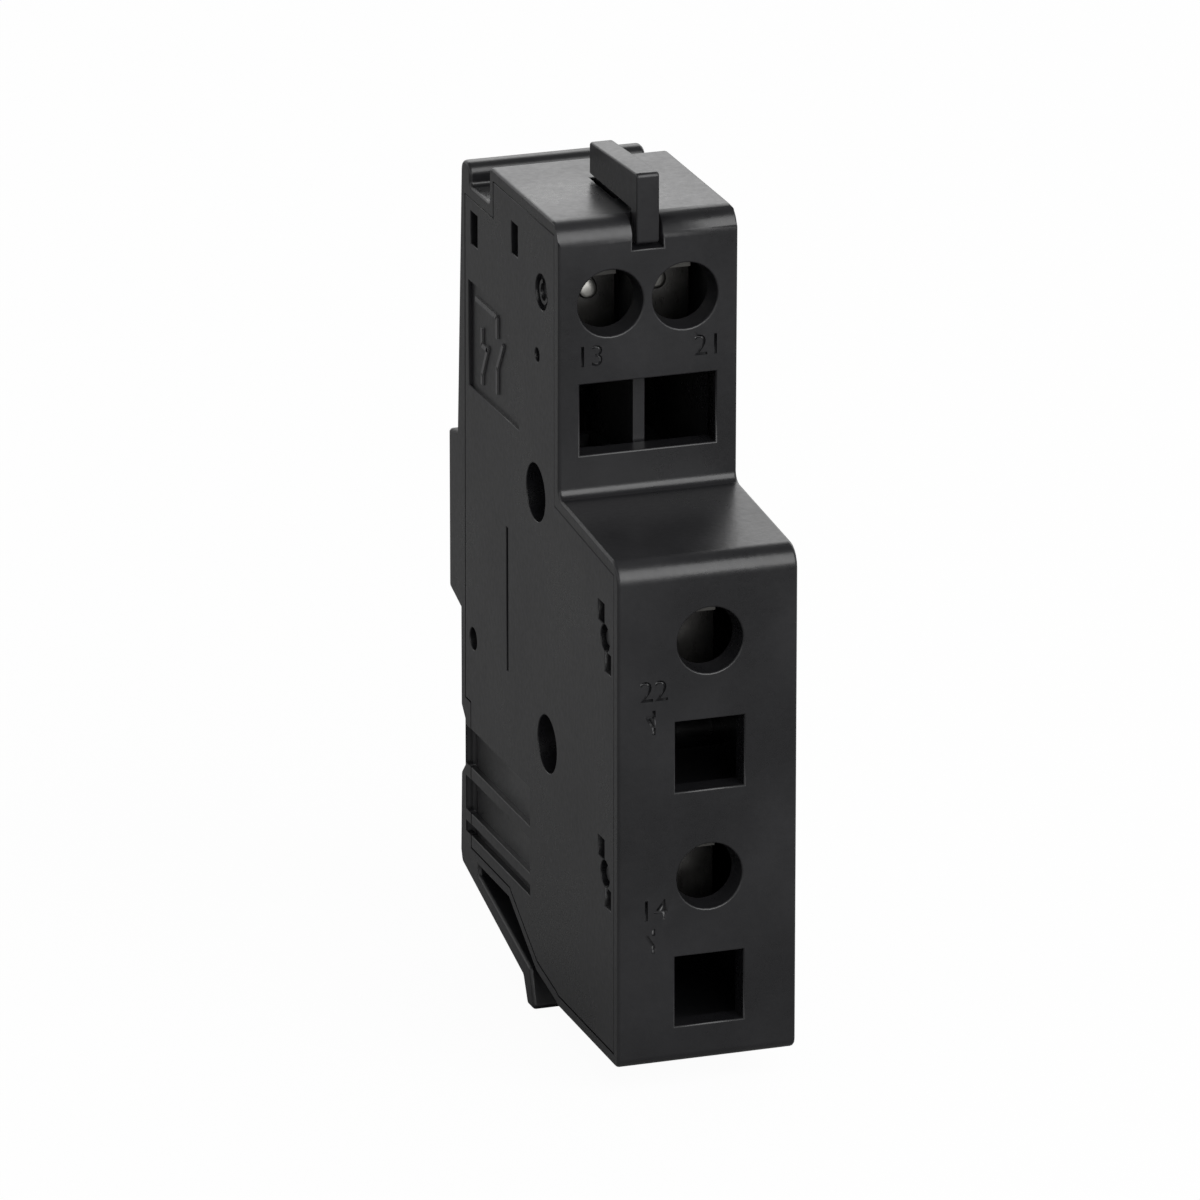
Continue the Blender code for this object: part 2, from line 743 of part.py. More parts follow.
def clamp_spring(number):
    """A cage clamp: a strip bent round below the bar, whose slotted front leg grips."""
    x, front, axis = TERMINALS[number]
    seat = axis + BAR_RISE + BAR_THICK / 2 + CAGE_REST + CAGE_THICK / 2
    gripping, back = front + CAGE_FRONT, front + CAGE_BACK
    # A little under half the width, so the two arcs of the round bottom do not meet
    bend = (CAGE_BACK - CAGE_FRONT) / 2
    arc = bend * 0.98
    bottom = axis - CAGE_DROP - bend
    corners = [
        (gripping + CAGE_TOP_BACK, seat, 0.0), (back, seat, CAGE_BEND), (back, bottom, arc),
        (gripping, bottom, arc), (gripping, axis + CAGE_TOP, 0.0),
    ]
    cage = extruded(
        "clamp_spring_" + number, strip_outline(rounded(corners, 6), CAGE_THICK),
        x - CAGE_WIDE / 2, x + CAGE_WIDE / 2, SPRING_STEEL, (gripping, axis),
    )
    side = BAR_WIDE / 2 + FIT
    reach = BAR_THICK / 2 + FIT
    low, high = bar_height(number) - reach, bar_height(number) + reach
    for leg, y in (("grip_window_", gripping), ("back_window_", back)):
        cut(cage, box(leg + number, (x - side, y - BEYOND, low), (x + side, y + BEYOND, high)))
    return cage


def bar_height(number):
    """The height of the part of a bar that lies in its clamp."""
    return TERMINALS[number][2] + BAR_RISE


def strip(name, path, x, look=None):
    """A flat bar with square bends, centred on x."""
    outline = strip_outline(path, BAR_THICK)
    return extruded(name, outline, x - BAR_WIDE / 2, x + BAR_WIDE / 2, look)


# Heights of the bars over and under the bridges
NC_BRIDGE_TOP = WEB_HIGH - OVERTRAVEL
NC_TIP_TOP = NC_BRIDGE_TOP + FIT + TIP_THICK
NC_FIXED_LOW = NC_TIP_TOP + FIT
NC_BAR = NC_FIXED_LOW + TIP_THICK + FIT + BAR_THICK / 2
NO_BRIDGE_LOW = WEB_LOW + WEB_THICK + FIT
NO_TIP_LOW = NO_BRIDGE_LOW - FIT - TIP_THICK
NO_FIXED_TOP = NO_TIP_LOW - TRAVEL - FIT
NO_BAR = NO_FIXED_TOP - TIP_THICK - FIT - BAR_THICK / 2


def upper_bar(number, foot_z):
    """From an upper clamp down behind it to the rear contact."""
    x, front, _ = TERMINALS[number]
    path = [
        (front + WALL + FIT, bar_height(number)), (DROP_Y, bar_height(number)),
        (DROP_Y, TURN_Z), (BAR_BACK_Y, TURN_Z), (BAR_BACK_Y, foot_z),
        (CONTACT_BACK - TIP_RADIUS, foot_z),
    ]
    return strip("current_bar_" + number, path, x, TINNED_BRASS)


def lower_bar(number, side, turn_y, foot_z):
    """From a lower clamp back and across to the front contact."""
    x, front, _ = TERMINALS[number]
    height = bar_height(number)
    bar = strip(
        "current_bar_" + number, [(front + WALL + FIT, height), (LOWER_BAR_END, height)], x,
        TINNED_BRASS,
    )
    near, far = sorted((x - side * BAR_WIDE / 2, side * (CONTACT_X + BAR_WIDE / 2)))
    cross = box(
        "cross_" + number, (near, CROSS_FRONT, height - BAR_THICK / 2),
        (far, LOWER_BAR_END, height + BAR_THICK / 2),
    )
    path = [
        (RUN_START, height), (turn_y, height), (turn_y, foot_z),
        (CONTACT_FRONT + TIP_RADIUS, foot_z),
    ]
    join(bar, cross, strip("run_" + number, path, side * CONTACT_X))
    return bar


def tip(name, x, y, low):
    """A contact rivet head."""
    return cylinder(name, (x, y, low), "z", TIP_THICK, TIP_RADIUS, SILVER, sides=20)


def bridge(name, x, low):
    """A moving contact bridge."""
    return box(
        name, (x - BRIDGE_WIDE / 2, CONTACT_FRONT - BRIDGE_REACH, low),
        (x + BRIDGE_WIDE / 2, CONTACT_BACK + BRIDGE_REACH, low + BRIDGE_THICK), COPPER_STRIP,
        (x, CONTACT_MID, low + BRIDGE_THICK / 2),
    )


def contacts():
    """Fixed and moving contacts of both circuits."""
    upper_bar("13", NO_BAR)
    upper_bar("21", NC_BAR)
    lower_bar("14", -1, TURN_14, NO_BAR)
    lower_bar("22", 1, TURN_22, NC_BAR)
    tip("fixed_tip_13", -CONTACT_X, CONTACT_BACK, NO_FIXED_TOP - TIP_THICK)
    tip("fixed_tip_14", -CONTACT_X, CONTACT_FRONT, NO_FIXED_TOP - TIP_THICK)
    tip("fixed_tip_21", CONTACT_X, CONTACT_BACK, NC_FIXED_LOW)
    tip("fixed_tip_22", CONTACT_X, CONTACT_FRONT, NC_FIXED_LOW)
    bridge("bridge_no", -CONTACT_X, NO_BRIDGE_LOW)
    bridge("bridge_nc", CONTACT_X, NC_BRIDGE_TOP - BRIDGE_THICK)
    tip("bridge_tip_13", -CONTACT_X, CONTACT_BACK, NO_TIP_LOW)
    tip("bridge_tip_14", -CONTACT_X, CONTACT_FRONT, NO_TIP_LOW)
    tip("bridge_tip_21", CONTACT_X, CONTACT_BACK, NC_TIP_TOP - TIP_THICK)
    tip("bridge_tip_22", CONTACT_X, CONTACT_FRONT, NC_TIP_TOP - TIP_THICK)


def contact_carrier():
    """The slide that moves both bridges, with its guide tongue and driving dog."""
    mid = CONTACT_MID
    half = CARRIER_LONG / 2
    side = CARRIER_WIDE / 2
    web_high_top = WEB_HIGH + WEB_THICK
    # The spine and the tongue start inside the webs that they join
    sunk_in = WEB_THICK / 2
    carrier = box(
        "contact_carrier", (-SPINE / 2, mid - half, WEB_LOW + sunk_in),
        (SPINE / 2, mid + half, web_high_top - sunk_in), DARK_PLASTIC,
        (0.0, mid, (WEB_LOW + web_high_top) / 2),
    )
    tongue = TONGUE_LONG / 2
    dog = DOG_LONG / 2
    join(
        carrier,
        box("web_low", (-side, mid - half, WEB_LOW), (side, mid + half, WEB_LOW + WEB_THICK)),
        box("web_high", (-side, mid - half, WEB_HIGH), (side, mid + half, web_high_top)),
        box(
            "tongue", (-SPINE / 2, mid - tongue, web_high_top - sunk_in),
            (SPINE / 2, mid + tongue, TONGUE_TOP),
        ),
        box(
            "dog", (DOG_START, mid - dog, WEB_LOW - DOG_HIGH),
            (HALF + DOG_OUT, mid + dog, WEB_LOW + sunk_in),
        ),
    )
    return carrier


def latch_tab():
    """The fin with its finger, the blade through the top wall, the arm and the hook."""
    under = TOP + FIT
    fin_outline = [
        (UPPER_FRONT, FINGER_FOOT, SMALL_ROUND), (UPPER_FRONT, TAB_TOP_FRONT, SMALL_ROUND),
        (TAB_BACK, TAB_TOP_BACK, SMALL_ROUND), (TAB_BACK, under, 0.0),
        (UPPER_FRONT + FINGER_DEEP, under, 0.0),
        (UPPER_FRONT + FINGER_DEEP, FINGER_FOOT, SMALL_ROUND),
    ]
    origin = (LATCH_SPRING_Y, LATCH_LOW + LATCH_ARM)
    tab = extruded(
        "latch_tab", rounded(fin_outline), -TAB_THICK / 2, TAB_THICK / 2, BLACK_PLASTIC, origin,
    )
    into_fin = under + ROOTED
    blade_outline = [
        (BLADE_FRONT, into_fin), (BLADE_BACK, into_fin), (BLADE_BACK, LATCH_LOW + LATCH_ARM),
        (HOOK_BACK, LATCH_LOW + LATCH_ARM), (HOOK_BACK, LATCH_LOW), (BLADE_FRONT, LATCH_LOW),
    ]
    blade = extruded("tab_blade", blade_outline, -BLADE_THICK / 2, BLADE_THICK / 2)
    hook = box(
        "tab_hook", (0.0, HOOK_FRONT, LATCH_LOW), (HALF + HOOK_OUT, HOOK_BACK, LATCH_LOW + LATCH_ARM),
    )
    join(tab, blade, hook)
    return tab


def terminal_divider():
    """The insulating plate between the two upper clamps."""
    front = UPPER_FRONT + WALL + FIT
    low, high = UPPER_AXIS - DIVIDER_DROP, TOP - WALL - FIT
    step_y, step_z = BLADE_FRONT - FIT, LATCH_LOW - FIT
    back = BLADE_BACK + DIVIDER_STEP
    outline = [
        (front, low), (front, high), (step_y, high), (step_y, step_z), (back, step_z), (back, low),
    ]
    return extruded("terminal_divider", outline, -BLADE_THICK / 2, BLADE_THICK / 2, BLACK_PLASTIC)


def springs():
    """Return, pressure and latch springs."""
    mid = CONTACT_MID
    steel = SPRING_STEEL
    coil("return_spring", (0.0, mid), SEAT_TOP + FIT, WEB_LOW - FIT, RETURN_COIL, steel)
    no_low = NO_BRIDGE_LOW + BRIDGE_THICK + FIT
    coil("pressure_spring_no", (-CONTACT_X, mid), no_low, WEB_HIGH - FIT, PRESSURE_COIL, steel)
    nc_low, nc_high = WEB_LOW + WEB_THICK + FIT, NC_BRIDGE_TOP - BRIDGE_THICK - FIT
    coil("pressure_spring_nc", (CONTACT_X, mid), nc_low, nc_high, PRESSURE_COIL, steel)
    latch_low, latch_high = LATCH_LOW + LATCH_ARM + FIT, TOP - WALL - FIT
    coil("latch_spring", (0.0, LATCH_SPRING_Y), latch_low, latch_high, LATCH_COIL, steel)


def build():
    """Make every piece."""
    housing_base()
    side_cover()
    for name, (y, z) in RIVETS.items():
        rivet(name, y, z)
    for number in TERMINALS:
        clamp_spring(number)
    contacts()
    contact_carrier()
    latch_tab()
    terminal_divider()
    springs()


build()
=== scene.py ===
import math

import bmesh
import bpy
from mathutils import Matrix, Vector
from mathutils.bvhtree import BVHTree


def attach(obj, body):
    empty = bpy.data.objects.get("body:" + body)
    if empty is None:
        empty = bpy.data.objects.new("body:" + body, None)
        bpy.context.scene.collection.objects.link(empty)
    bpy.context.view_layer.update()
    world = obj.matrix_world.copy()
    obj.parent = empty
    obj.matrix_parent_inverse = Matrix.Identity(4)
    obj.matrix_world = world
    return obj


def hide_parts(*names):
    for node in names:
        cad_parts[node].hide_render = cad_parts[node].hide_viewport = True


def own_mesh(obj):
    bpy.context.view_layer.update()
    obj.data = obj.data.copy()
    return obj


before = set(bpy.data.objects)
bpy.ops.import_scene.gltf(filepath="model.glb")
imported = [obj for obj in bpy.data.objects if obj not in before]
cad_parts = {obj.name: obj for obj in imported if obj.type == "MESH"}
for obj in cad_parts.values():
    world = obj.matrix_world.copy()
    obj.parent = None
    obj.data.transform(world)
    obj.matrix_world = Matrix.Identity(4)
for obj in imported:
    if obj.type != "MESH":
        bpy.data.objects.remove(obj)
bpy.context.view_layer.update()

# An auxiliary contact block for switchgear: a stepped housing of black polyamide with
# spring clamps behind its funnels, seen from the front left and a little above.
# Places are given in millimetres in the block's own layout, where x runs across the
# thickness from the middle, y back from the lower front face and z up from the bottom.
MM = 0.001
ORIGIN = Vector((6.25, 17.0, 27.0))
HALF_WIDTH = 6.25
UPPER_FRONT = 12.1
TOP = 54.85

# How near a point has to be to a face to count as lying on it
NEAR = 0.02
# Points this near each other are one, in a copy of a CAD node and after a cut
SAME_POINT = 0.002
SAME_CUT_POINT = 0.0005
# Angles in degrees: faces that turn less are one flat face, and edges that turn more
# are sharp enough to be rounded
FLAT_ANGLE = 0.6
SHARP_ANGLE = 35.0

# Roundings that the mould leaves on the outer edges, round the openings, on the tab and
# on the ends of the pegs
OUTLINE_RADIUS = 0.25
OPENING_RADIUS = 0.12
TAB_RADIUS = 0.16
PEG_RADIUS = 0.15
# A rounding of an opening stays this far off the rounding of the outer edges
OPENING_MARGIN = 0.05
# A wall spans the housing if it comes this near both of its sides
SIDE_ZONE = 0.5
# The ends of the pegs in the cover, and how far back the pegs in front reach
PEG_END = -6.0
PEG_BACK = 5.0
# How far below the top the edges of the tab are rounded
TAB_REACH = 2.5

# Gap that shows between the cover and the tray, and the wider one in the CAD
SEAM = 0.08
CAD_GAP = 0.3

# Terminal numbers on the fronts: text, x, front face y and z of the middle
NUMBERS = (
    ("13", -4.05, UPPER_FRONT, 45.6), ("21", 4.2, UPPER_FRONT, 45.6),
    ("22", -3.75, 0.0, 26.2), ("14", -3.75, 0.0, 10.9),
)
NUMBER_HIGH = 1.5
ENGRAVED = 0.16
# Share of the built-in face's size that its capitals take
CAPITAL_SHARE = 0.73

# Contact signs under the lower numbers: x and z of the middle, and whether the contact
# is closed at rest
SIGNS = ((-3.75, 24.1, True), (-3.75, 8.8, False))
# Bars of a sign, in x and z from its middle: two stubs and the arm between them, and the
# rest that the arm touches in a closed contact
SIGN_BARS = (
    ((0.0, -0.85), (0.0, -0.35)), ((-0.5, 0.42), (-0.02, -0.36)), ((0.0, 0.4), (0.0, 0.85)),
)
SIGN_REST = ((-0.58, 0.4), (0.0, 0.4))
SIGN_LINE = 0.22
SIGN_STEP = 0.015

# Sunk label field on the cover, and the contact diagram that stands up from its floor:
# y and z of both ends of each line
FIELD_FLOOR = -6.0
DIAGRAM_HIGH = 0.14
DIAGRAM_LINE = 0.34
DIAGRAM = (
    ((29.9, 44.6), (25.4, 44.6)), ((25.4, 44.6), (25.4, 43.1)), ((25.4, 41.0), (24.1, 43.0)),
    ((25.4, 41.1), (25.4, 39.2)), ((28.6, 42.9), (28.6, 41.7)), ((28.6, 41.7), (27.3, 41.7)),
    ((28.6, 39.6), (27.3, 41.9)), ((28.6, 39.7), (28.6, 38.9)),
)

# Round recess high on the cover, by y and z of its middle, with the arc of a mould
# insert in it: x from the recess's floor and radius of the arc's corners, and the
# degrees at which it starts and through which it runs
INSERT = (15.6, 49.3)
INSERT_FLOOR = -5.9
ARC_CORNERS = ((0.05, 0.55), (-0.2, 0.6), (-0.2, 0.85), (0.05, 0.9))
ARC_START = 200.0
ARC_RUN = 235.0
ARC_STEPS = 20

# Lugs pressed out of the upper clamp springs, which bite on the wire: x, y, z of the
# middle, half their width and length, and how many degrees they lean back
LUGS = (
    ("wire_lug_13", (-2.72, 16.45, 49.12), (0.66, 0.84), 14.0),
    ("wire_lug_21", (2.06, 16.45, 49.3), (0.7, 0.86), 6.0),
)
# Half the section of a lug: share of its half width, and depth behind its rim in mm
LUG_SECTION = (
    (0.0, 0.5), (1.0, 0.5), (1.0, 0.12), (0.97, 0.04), (0.9, 0.0), (0.7, -0.035),
    (0.45, -0.065), (0.2, -0.08), (0.0, -0.085),
)
LUG_TAPER = 0.25
LUG_STEPS = 32

# Coil springs: node, body, joint that closes it, z of the end that stays, and the share
# of its length that is left at the joint's limit
SPRINGS = (
    ("return_spring", "housing", "carrier_slide", 16.7, 0.6),
    ("latch_spring", "housing", "latch_slide", 52.95, 0.6),
    ("pressure_spring_no", "carrier", "no_contact_slide", 28.3, 0.74),
    ("pressure_spring_nc", "carrier", "nc_contact_slide", 23.3, 0.72),
)

# Sizes of the patterns: broad patches and fine grain on mouldings, tarnish on metal
PATCH = 5.0
SPARK_GRAIN = 0.2
TARNISH = 1.2
# Tones of a noise between which its patches and its grain go from one end to the other
PATCH_TONES = (0.35, 0.65)
GRAIN_TONES = (0.3, 0.7)
NOISE_ROUGHNESS = 0.55
# How much the patches, the grain and the lines of the rolls change the roughness
PATCH_GLOSS = 0.04
GRAIN_GLOSS = 0.03
LINE_GLOSS = 0.03
# Depths in mm of the grain and of the lines, and how much the lines show
GRAIN_DEPTH = 0.03
LINE_DEPTH = 0.01
LINE_RELIEF = 0.06
# Length of the lines: the noise is this much slower along the strip than across
LINE_STRETCH = 0.06
PLASTIC_IOR = 1.53


def spot(x, y, z):
    """A place in the layout as a point of the frame."""
    return (Vector((x, y, z)) - ORIGIN) * MM


def in_layout(point):
    """A point of the frame as a place in the layout."""
    return point / MM + ORIGIN


def linear(colour):
    """An sRGB hex colour as linear red, green, blue and alpha."""
    channels = [int(colour[start:start + 2], 16) / 255 for start in (1, 3, 5)]
    return [
        value / 12.92 if value <= 0.04045 else ((value + 0.055) / 1.055) ** 2.4
        for value in channels
    ] + [1.0]


def add_node(tree, kind, settings=None, values=None, links=None):
    """A node with its settings, its socket values and the links into it."""
    node = tree.nodes.new(kind)
    for key, value in (settings or {}).items():
        setattr(node, key, value)
    for key, value in (values or {}).items():
        node.inputs[key].default_value = value
    for key, source in (links or {}).items():
        tree.links.new(source, node.inputs[key])
    return node


def new_material(name):
    """An empty material with its tree and output."""
    material = bpy.data.materials.new(name)
    material.use_nodes = True
    tree = material.node_tree
    tree.nodes.clear()
    output = tree.nodes.new("ShaderNodeOutputMaterial")
    return material, tree, output


def patched_colour(tree, place, size, dark, light):
    """Soft patches of two colours: how light each place is, and its colour."""
    cloud = add_node(
        tree, "ShaderNodeTexNoise",
        values={"Scale": 1 / (size * 2 * MM), "Detail": 3.0, "Roughness": NOISE_ROUGHNESS},
        links={"Vector": place},
    ).outputs["Fac"]
    patches = add_node(
        tree, "ShaderNodeMapRange",
        values={"From Min": PATCH_TONES[0], "From Max": PATCH_TONES[1]},
        links={"Value": cloud},
    ).outputs["Result"]
    colour = add_node(
        tree, "ShaderNodeMix", settings={"data_type": "RGBA"},
        values={6: linear(dark), 7: linear(light)}, links={0: patches},
    ).outputs[2]
    return patches, colour


def moulded_plastic(name, dark, light, gloss, texture):
    """Injection moulded plastic from a spark eroded mould.

    The mould leaves a fine even grain, drawn at 0.2 mm so that it shows, and broad
    patches that are a little glossier and darker where the melt froze first.
    """
    material, tree, output = new_material(name)
    place = add_node(tree, "ShaderNodeTexCoord").outputs["Object"]
    patches, colour = patched_colour(tree, place, PATCH, dark, light)
    grain = add_node(
        tree, "ShaderNodeTexNoise", values={
            "Scale": 1 / (SPARK_GRAIN * 2 * MM), "Detail": 2.0, "Roughness": NOISE_ROUGHNESS,
        }, links={"Vector": place},
    ).outputs["Fac"]
    rough_patch = add_node(
        tree, "ShaderNodeMapRange",
        values={"To Min": gloss - PATCH_GLOSS, "To Max": gloss + PATCH_GLOSS},
        links={"Value": patches},
    ).outputs["Result"]
    rough_grain = add_node(
        tree, "ShaderNodeMapRange", values={
            "From Min": GRAIN_TONES[0], "From Max": GRAIN_TONES[1],
            "To Min": -GRAIN_GLOSS, "To Max": GRAIN_GLOSS,
        }, links={"Value": grain},
    ).outputs["Result"]
    rough = add_node(
        tree, "ShaderNodeMath", settings={"operation": "ADD"},
        links={0: rough_patch, 1: rough_grain},
    ).outputs[0]
    relief = add_node(
        tree, "ShaderNodeBump", values={"Strength": texture, "Distance": GRAIN_DEPTH * MM},
        links={"Height": grain},
    ).outputs["Normal"]
    shader = add_node(
        tree, "ShaderNodeBsdfPrincipled", values={"IOR": PLASTIC_IOR},
        links={"Base Color": colour, "Roughness": rough, "Normal": relief},
    )
    tree.links.new(shader.outputs[0], output.inputs["Surface"])
    return material


def rolled_metal(name, dark, light, gloss, line_mm, along):
    """Metal strip with the fine lines that the rolls leave along one axis.

    The lines are drawn a few times coarser than real ones so that they show.
    """
    material, tree, output = new_material(name)
    place = add_node(tree, "ShaderNodeTexCoord").outputs["Object"]
    colour = patched_colour(tree, place, TARNISH, dark, light)[1]
    stretch = [1.0, 1.0, 1.0]
    stretch[along] = LINE_STRETCH
    drawn = add_node(
        tree, "ShaderNodeMapping", values={"Scale": stretch}, links={"Vector": place},
    ).outputs["Vector"]
    lines = add_node(
        tree, "ShaderNodeTexNoise", values={
            "Scale": 1 / (line_mm * 2 * MM), "Detail": 3.0, "Roughness": NOISE_ROUGHNESS,
        }, links={"Vector": drawn},
    ).outputs["Fac"]
    rough = add_node(
        tree, "ShaderNodeMapRange", values={
            "From Min": GRAIN_TONES[0], "From Max": GRAIN_TONES[1],
            "To Min": gloss - LINE_GLOSS, "To Max": gloss + LINE_GLOSS,
        }, links={"Value": lines},
    ).outputs["Result"]
    relief = add_node(
        tree, "ShaderNodeBump", values={"Strength": LINE_RELIEF, "Distance": LINE_DEPTH * MM},
        links={"Height": lines},
    ).outputs["Normal"]
    shader = add_node(
        tree, "ShaderNodeBsdfPrincipled", values={"Metallic": 1.0},
        links={"Base Color": colour, "Roughness": rough, "Normal": relief},
    )
    tree.links.new(shader.outputs[0], output.inputs["Surface"])
    return material


# Glass filled polyamide 66, black: satin, with an even fine grain from the mould
POLYAMIDE = moulded_plastic("black_polyamide_66", "#18181a", "#212123", 0.32, 0.3)
# The same on the raised lines: paler, a painted sheen where they catch the light, and glossier
# and with less grain
POLYAMIDE_PAINTED_SHEEN = moulded_plastic("polyamide_66_painted_sheen", "#4a4a4b", "#555556", 0.3, 0.1)
# The slide inside is a harder, plainer grade, a little bluer than the housing
CARRIER_PLASTIC = moulded_plastic("black_polyester_pbt", "#242528", "#2c2d30", 0.36, 0.15)
# Tempered spring steel: fine upright lines, and its colour darkened as painted shade, for the
# shade deep in the funnels
SPRING_STEEL_PAINTED_SHADE = rolled_metal("tempered_spring_steel_painted_shade", "#504f4e", "#61605e", 0.3, 0.03, 2)
# The same steel where pressing has burnished it: brighter, with broader lines
BRIGHT_STEEL = rolled_metal("burnished_spring_steel", "#82817e", "#92918d", 0.3, 0.12, 2)
# Tin plated brass bars: duller than the springs, and painted grey with a faint warm tone,
# darker than bright tin, as painted shade deep in the funnels
TINNED_BRASS_PAINTED_SHADE = rolled_metal("tin_plated_brass_painted_shade", "#5e5d5b", "#6f6e6b", 0.34, 0.06, 1)
# Copper alloy bridges: reddish, with cloudy tarnish
COPPER_STRIP = rolled_metal("copper_alloy_strip", "#b0714c", "#c98a63", 0.34, 0.06, 1)
# Silver nickel contact rivets: pale, with a slight tarnish
CONTACT_SILVER = rolled_metal("silver_nickel_contact", "#c9c6bc", "#dddad2", 0.28, 0.06, 1)
# Zinc plated rivets: bluish grey and softly blurred
RIVET_STEEL = rolled_metal("zinc_plated_steel", "#b4b8bb", "#cbced0", 0.42, 0.1, 0)


def new_object(name, data):
    """An object in the scene for a mesh, a curve, a lamp or a camera."""
    item = bpy.data.objects.new(name, data)
    bpy.context.scene.collection.objects.link(item)
    return item


def merged_copy(node):
    """A bmesh of a CAD node with its triangles joined and its flat faces made whole."""
    shape = bmesh.new()
    shape.from_mesh(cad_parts[node].data)
    bmesh.ops.remove_doubles(shape, verts=shape.verts, dist=SAME_POINT * MM)
    bmesh.ops.dissolve_limit(
        shape, angle_limit=math.radians(FLAT_ANGLE), verts=shape.verts, edges=shape.edges,
    )
    return shape


def evaluated_shape(item):
    """A bmesh of an object with its modifiers applied; the object is removed."""
    graph = bpy.context.evaluated_depsgraph_get()
    mesh = bpy.data.meshes.new_from_object(item.evaluated_get(graph))
    shape = bmesh.new()
    shape.from_mesh(mesh)
    bpy.data.meshes.remove(mesh)
    bpy.data.objects.remove(item)
    return shape


def carve(shape, cutter):
    """Cut one bmesh out of another with an exact Boolean."""
    items = []
    for name, source in (("blank", shape), ("cutter", cutter)):
        mesh = bpy.data.meshes.new(name)
        source.to_mesh(mesh)
        source.free()
        items.append(new_object(name, mesh))
    change = items[0].modifiers.new("carve", "BOOLEAN")
    change.operation = "DIFFERENCE"
    change.solver = "EXACT"
    change.use_self = True
    change.object = items[1]
    result = evaluated_shape(items[0])
    bpy.data.objects.remove(items[1])
    bmesh.ops.remove_doubles(result, verts=result.verts, dist=SAME_CUT_POINT * MM)
    return result


def add_number(shape, text, x, front, z):
    """Add a solid terminal number, centred on a front face and facing forward."""
    curve = bpy.data.curves.new("number_" + text, "FONT")
    curve.body = text
    curve.align_x = "CENTER"
    curve.align_y = "CENTER"
    curve.size = NUMBER_HIGH / CAPITAL_SHARE * MM
    curve.extrude = ENGRAVED * MM
    curve.resolution_u = 3
    number = evaluated_shape(new_object("number_" + text, curve))
    bmesh.ops.remove_doubles(number, verts=number.verts, dist=SAME_CUT_POINT * MM)
    place = Matrix.Translation(spot(x, front, z)) @ Matrix.Rotation(math.pi / 2, 4, "X")
    bmesh.ops.transform(number, verts=number.verts, matrix=place)
    mesh = bpy.data.meshes.new("number")
    number.to_mesh(mesh)
    number.free()
    shape.from_mesh(mesh)
    bpy.data.meshes.remove(mesh)


def add_bar(shape, start, end, wide, out):
    """A straight bar between two places, with its thickness along out on both sides."""
    start, end, out = Vector(start), Vector(end), Vector(out)
    along = end - start
    side = out.cross(along).normalized() * wide
    middle = Matrix.Translation(spot(*((start + end) / 2)))
    basis = Matrix((along, side, out * 2)).transposed() * MM
    bmesh.ops.create_cube(shape, size=1.0, matrix=middle @ basis.to_4x4())


def carve_sign(shape, x, z, closed):
    """Cut a contact sign into the lower front, bar by bar because its bars overlap."""
    bars = [*SIGN_BARS, SIGN_REST] if closed else SIGN_BARS
    for place, ((start_x, start_z), (end_x, end_z)) in enumerate(bars):
        # Each bar is a little deeper than the last, so no two floors lie in one plane
        deep = (0.0, ENGRAVED + place * SIGN_STEP, 0.0)
        cutter = bmesh.new()
        add_bar(
            cutter, (x + start_x, 0.0, z + start_z), (x + end_x, 0.0, z + end_z),
            SIGN_LINE, deep,
        )
        shape = carve(shape, cutter)
    return shape


def round_edges(shape, choose, radius):
    """Round the sharp convex edges that a test picks out."""
    sharp = math.radians(SHARP_ANGLE)
    edges = []
    for edge in shape.edges:
        if len(edge.link_faces) != 2 or edge.calc_face_angle_signed(0.0) < sharp:
            continue
        if choose(edge, [in_layout(vert.co) for vert in edge.verts]):
            edges.append(edge)
    bmesh.ops.bevel(
        shape, geom=edges, offset=radius * MM, segments=3, profile=0.5, affect="EDGES",
        material=-1, clamp_overlap=False,
    )
    # Where a corner is as tight as the rounding, its points fall together
    bmesh.ops.remove_doubles(shape, verts=shape.verts, dist=SAME_POINT * MM)


def finish_piece(name, shape, body, material, smooth=32.0):
    """Turn a bmesh into a piece that rides on a body, smooth up to an angle in degrees."""
    mesh = bpy.data.meshes.new(name)
    shape.to_mesh(mesh)
    shape.free()
    mesh.materials.clear()
    mesh.materials.append(material)
    mesh.shade_smooth()
    mesh.set_sharp_from_angle(angle=math.radians(smooth))
    piece = new_object(name, mesh)
    weigh = piece.modifiers.new("flat faces stay flat", "WEIGHTED_NORMAL")
    weigh.keep_sharp = True
    weigh.weight = 100
    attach(piece, body)
    return piece


def spans_width(edge):
    """Whether an edge borders a wall that runs right across the housing."""
    for face in edge.link_faces:
        # The two sides themselves face along x
        if abs(face.normal.x) < 0.5:
            across = [in_layout(vert.co).x for vert in face.verts]
            reach = min(-min(across), max(across))
            if reach > HALF_WIDTH - SIDE_ZONE:
                return True
    return False


def on_side(edge, ends):
    """Outer edges of both sides of the housing."""
    return all(abs(abs(end.x) - HALF_WIDTH) < NEAR for end in ends) and spans_width(edge)


def round_an_opening(edge, ends):
    """Edges of openings in the fronts, in the top and in the right side."""
    inner = HALF_WIDTH - OUTLINE_RADIUS - OPENING_MARGIN
    for axis, place in ((1, 0.0), (1, UPPER_FRONT), (2, TOP), (0, HALF_WIDTH)):
        if all(abs(end[axis] - place) < NEAR for end in ends):
            return axis == 0 or all(abs(end.x) < inner for end in ends)
    return False


def round_a_peg(edge, ends):
    """Ends of the pegs that show in the front of the cover."""
    return all(abs(end.x - PEG_END) < NEAR and end.y < PEG_BACK for end in ends)


def on_cover_face(edge, ends):
    """Edges of the marks in the cover's face."""
    return all(abs(end.x + HALF_WIDTH) < NEAR for end in ends)


def on_tab(edge, ends):
    """Edges of the latch tab where a thumb reaches them."""
    return all(end.z > TOP - TAB_REACH for end in ends)


